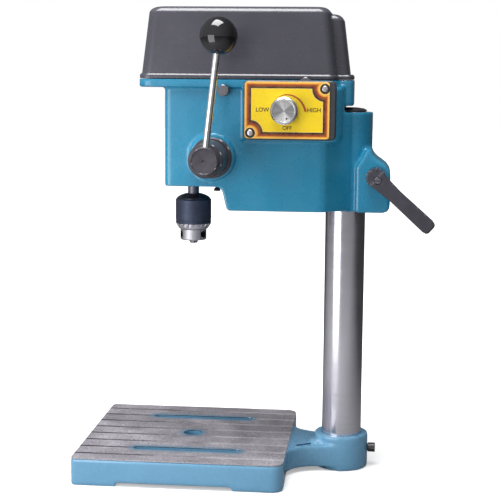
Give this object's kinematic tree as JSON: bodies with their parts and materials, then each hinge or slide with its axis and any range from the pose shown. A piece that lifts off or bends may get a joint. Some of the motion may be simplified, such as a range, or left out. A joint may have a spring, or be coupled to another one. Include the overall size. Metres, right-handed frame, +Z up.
{
  "type": "bench drill press",
  "caption": "Small bench drill press: slotted square table, steel column, sliding head with belt cover, spring-return feed lever, keyed chuck and speed dial.",
  "frame": {"origin": "centre of the part's box in plan, at floor level", "axes": "+Z up along the column; -Y is the front, where the chuck is; +X is the side with the feed handle and the speed control"},
  "size_m": [0.1754, 0.2676, 0.3562],
  "materials": {
    "base_paint": "light blue gloss paint on cast iron, top face machined bare",
    "head_paint": "teal-blue gloss paint on cast aluminium",
    "steel_bright": "brushed",
    "steel_black": "blackened",
    "chrome": "polished",
    "pulley_alloy": "turned",
    "motor_steel": "satin",
    "black_gloss": "gloss",
    "black_plastic": "satin",
    "plate_yellow": "printed",
    "belt_rubber": "matt",
    "board_green": "matt",
    "lever_cast": "dark textured paint on cast zinc"
  },
  "bodies": {
    "base": {"base_casting": "base_paint", "column_set_screw": "steel_black", "boss_grub_screw": "steel_bright"},
    "column": {"column_tube": "steel_bright", "column_cap": "black_plastic"},
    "head": {"head_casting": "head_paint", "plate_bolt_front": "steel_black", "plate_bolt_rear": "steel_black", "plate_bolt_front_far": "steel_black", "plate_bolt_rear_far": "steel_black", "quill_guide_screw": "steel_black", "pulley_bearing": "steel_bright", "drive_belt": "belt_rubber", "motor_plate": "steel_bright", "motor_screw_1": "steel_bright", "motor_screw_2": "steel_bright", "motor_can": "motor_steel", "spring_housing": "steel_black", "return_spring": "steel_bright", "control_box": "black_plastic", "control_plate": "plate_yellow", "panel_screw_1": "steel_bright", "panel_screw_2": "steel_bright", "potentiometer": "motor_steel", "control_board": "board_green", "clamp_nut": "steel_bright", "power_inlet": "black_plastic"},
    "cover": {"belt_cover": "black_plastic"},
    "quill": {"quill": "steel_bright", "quill_bearing_lower": "steel_bright", "quill_bearing_upper": "steel_bright"},
    "spindle": {"spindle_shaft": "steel_bright", "chuck_body": "chrome"},
    "chuck_sleeve": {"chuck_sleeve": "steel_black"},
    "jaw_1": {"chuck_jaw_1": "steel_bright"},
    "jaw_2": {"chuck_jaw_2": "steel_bright"},
    "jaw_3": {"chuck_jaw_3": "steel_bright"},
    "pulley": {"spindle_pulley": "pulley_alloy"},
    "rotor": {"motor_rotor": "motor_steel", "motor_pulley": "pulley_alloy"},
    "feed": {"pinion_shaft": "steel_bright", "feed_hub": "steel_black", "handle_rod": "chrome", "handle_ball": "black_gloss"},
    "knob": {"speed_knob": "pulley_alloy", "pot_shaft": "steel_bright"},
    "clamp": {"clamp_screw": "steel_bright", "clamp_lever": "lever_cast", "lever_screw": "steel_black"}
  },
  "joints": [
    {"name": "column_turn", "type": "hinge", "parent": "base", "child": "column", "pos_m": [-0.00768, 0.06643, 0.015], "axis": [0, 0, 1], "range_deg": [-180, 180]},
    {"name": "head_slide", "type": "slide", "parent": "column", "child": "head", "axis": [0, 0, 1], "range_m": [0, 0.045]},
    {"name": "cover_lift", "type": "slide", "parent": "head", "child": "cover", "axis": [0, 0, 1], "range_m": [0, 0.07]},
    {"name": "feed_turn", "type": "hinge", "parent": "head", "child": "feed", "pos_m": [0.03732, -0.03263, 0.2446], "axis": [1, 0, 0], "range_deg": [0, 127.3], "stiffness_Nm_per_rad": 0.09, "springref_deg": -74.48},
    {"name": "quill_feed", "type": "slide", "parent": "head", "child": "quill", "axis": [0, 0, -1], "range_m": [0, 0.02]},
    {"name": "spindle_spin", "type": "hinge", "parent": "quill", "child": "spindle", "pos_m": [-0.00768, -0.05233, 0.23], "axis": [0, 0, -1], "continuous": true},
    {"name": "pulley_spin", "type": "hinge", "parent": "head", "child": "pulley", "pos_m": [-0.00768, -0.05233, 0.307], "axis": [0, 0, -1], "continuous": true},
    {"name": "motor_spin", "type": "hinge", "parent": "head", "child": "rotor", "pos_m": [-0.00768, 0.00817, 0.262], "axis": [0, 0, -1], "continuous": true},
    {"name": "chuck_turn", "type": "hinge", "parent": "spindle", "child": "chuck_sleeve", "pos_m": [-0.00768, -0.05233, 0.196], "axis": [0, 0, 1], "range_deg": [0, 1800]},
    {"name": "knob_turn", "type": "hinge", "parent": "head", "child": "knob", "pos_m": [0.04832, 0.02237, 0.2804], "axis": [-1, 0, 0], "range_deg": [0, 280]},
    {"name": "clamp_turn", "type": "hinge", "parent": "head", "child": "clamp", "pos_m": [0.02232, 0.08937, 0.231], "axis": [1, 0, 0], "range_deg": [0, 110]},
    {"name": "jaw_1_slide", "type": "slide", "parent": "spindle", "child": "jaw_1", "axis": [0.2754, -0.011, 0.9613], "range_m": [0, 0.0106]},
    {"name": "jaw_2_slide", "type": "slide", "parent": "spindle", "child": "jaw_2", "axis": [-0.1282, 0.244, 0.9613], "range_m": [0, 0.0106]},
    {"name": "jaw_3_slide", "type": "slide", "parent": "spindle", "child": "jaw_3", "axis": [-0.1473, -0.233, 0.9613], "range_m": [0, 0.0106]}
  ],
  "couplings": [
    {"joint": "quill_feed", "follows": "feed_turn", "m_per_rad": 0.009},
    {"joint": "pulley_spin", "follows": "spindle_spin", "ratio": 1},
    {"joint": "motor_spin", "follows": "spindle_spin", "ratio": 3},
    {"joint": "jaw_1_slide", "follows": "chuck_turn", "m_per_rad": 0.00033423},
    {"joint": "jaw_2_slide", "follows": "chuck_turn", "m_per_rad": 0.00033423},
    {"joint": "jaw_3_slide", "follows": "chuck_turn", "m_per_rad": 0.00033423}
  ]
}
